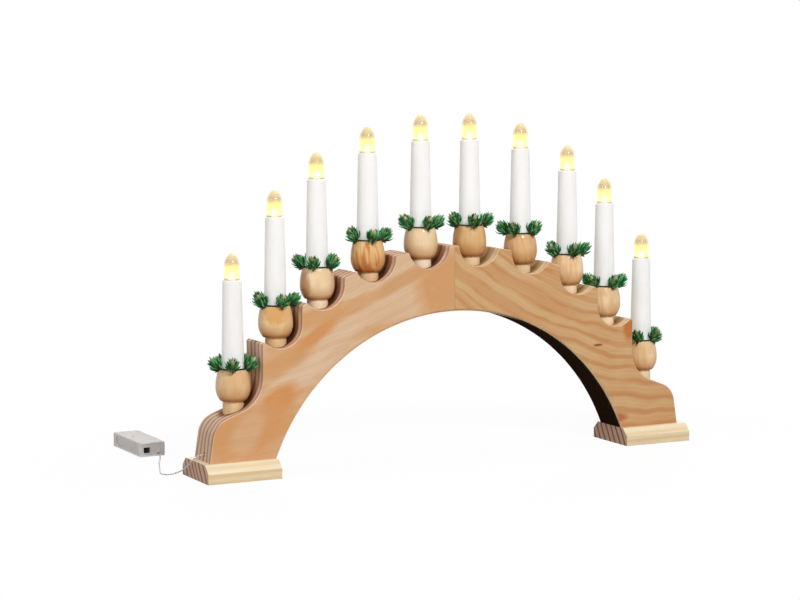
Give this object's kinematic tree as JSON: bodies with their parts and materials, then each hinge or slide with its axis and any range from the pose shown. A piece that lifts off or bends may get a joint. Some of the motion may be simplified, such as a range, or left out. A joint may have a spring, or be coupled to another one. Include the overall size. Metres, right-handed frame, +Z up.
{
  "type": "candle arch",
  "caption": "Free-standing pine candle arch with turned cups in round notches, white sleeves with lit flame lenses, fir rings, two bevelled feet and a battery case on a lead.",
  "frame": {"origin": "on the ground, midway between the two feet and midway through their depth", "axes": "+X along the arch, -Y towards its front, +Z up"},
  "size_m": [0.5187, 0.2304, 0.3185],
  "materials": {
    "arch_pine": "oiled pine, satin",
    "foot_pine": "bare pine, satin",
    "cup_pine": "lacquered pine, gloss",
    "cover_strip": "matt black-brown strip",
    "sleeve_white": "white satin plastic",
    "flame_clear": "clear plastic, lit warm white",
    "lamp_clear": "clear diode, lit warm white",
    "fir_green": "green plastic needles",
    "clear_wire": "clear insulated twisted wire",
    "case_clear": "translucent grey moulded plastic",
    "cell_jacket": "plain grey jacket",
    "zinc_steel": "zinc plated",
    "switch_black": "black moulded plastic"
  },
  "bodies": {
    "arch": {"arch_left": "arch_pine", "arch_right": "arch_pine", "battery_case": "case_clear", "battery_cells": "cell_jacket", "candle_cup_01": "cup_pine", "candle_cup_02": "cup_pine", "candle_cup_03": "cup_pine", "candle_cup_04": "cup_pine", "candle_cup_05": "cup_pine", "candle_cup_06": "cup_pine", "candle_cup_07": "cup_pine", "candle_cup_08": "cup_pine", "candle_cup_09": "cup_pine", "candle_cup_10": "cup_pine", "candle_sleeve_01": "sleeve_white", "candle_sleeve_02": "sleeve_white", "candle_sleeve_03": "sleeve_white", "candle_sleeve_04": "sleeve_white", "candle_sleeve_05": "sleeve_white", "candle_sleeve_06": "sleeve_white", "candle_sleeve_07": "sleeve_white", "candle_sleeve_08": "sleeve_white", "candle_sleeve_09": "sleeve_white", "candle_sleeve_10": "sleeve_white", "channel_cover": "cover_strip", "contact_plates": "zinc_steel", "crown_dowels": "foot_pine", "fir_ring_01": "fir_green", "fir_ring_02": "fir_green", "fir_ring_03": "fir_green", "fir_ring_04": "fir_green", "fir_ring_05": "fir_green", "fir_ring_06": "fir_green", "fir_ring_07": "fir_green", "fir_ring_08": "fir_green", "fir_ring_09": "fir_green", "fir_ring_10": "fir_green", "flame_lens_01": "flame_clear", "flame_lens_02": "flame_clear", "flame_lens_03": "flame_clear", "flame_lens_04": "flame_clear", "flame_lens_05": "flame_clear", "flame_lens_06": "flame_clear", "flame_lens_07": "flame_clear", "flame_lens_08": "flame_clear", "flame_lens_09": "flame_clear", "flame_lens_10": "flame_clear", "foot_left": "foot_pine", "foot_right": "foot_pine", "foot_screws": "zinc_steel", "lead_cord": "clear_wire", "led_carriers": "sleeve_white", "led_lamps": "lamp_clear", "switch_body": "switch_black", "wire_harness": "clear_wire"},
    "lid": {"battery_lid": "case_clear"},
    "slider": {"switch_slider": "switch_black"}
  },
  "joints": [
    {"name": "lid_slide", "type": "slide", "parent": "arch", "child": "lid", "axis": [0, 1, 0], "range_m": [0, 0.052]},
    {"name": "switch_slide", "type": "slide", "parent": "arch", "child": "slider", "axis": [-1, 0, 0], "range_m": [0, 0.003]}
  ]
}
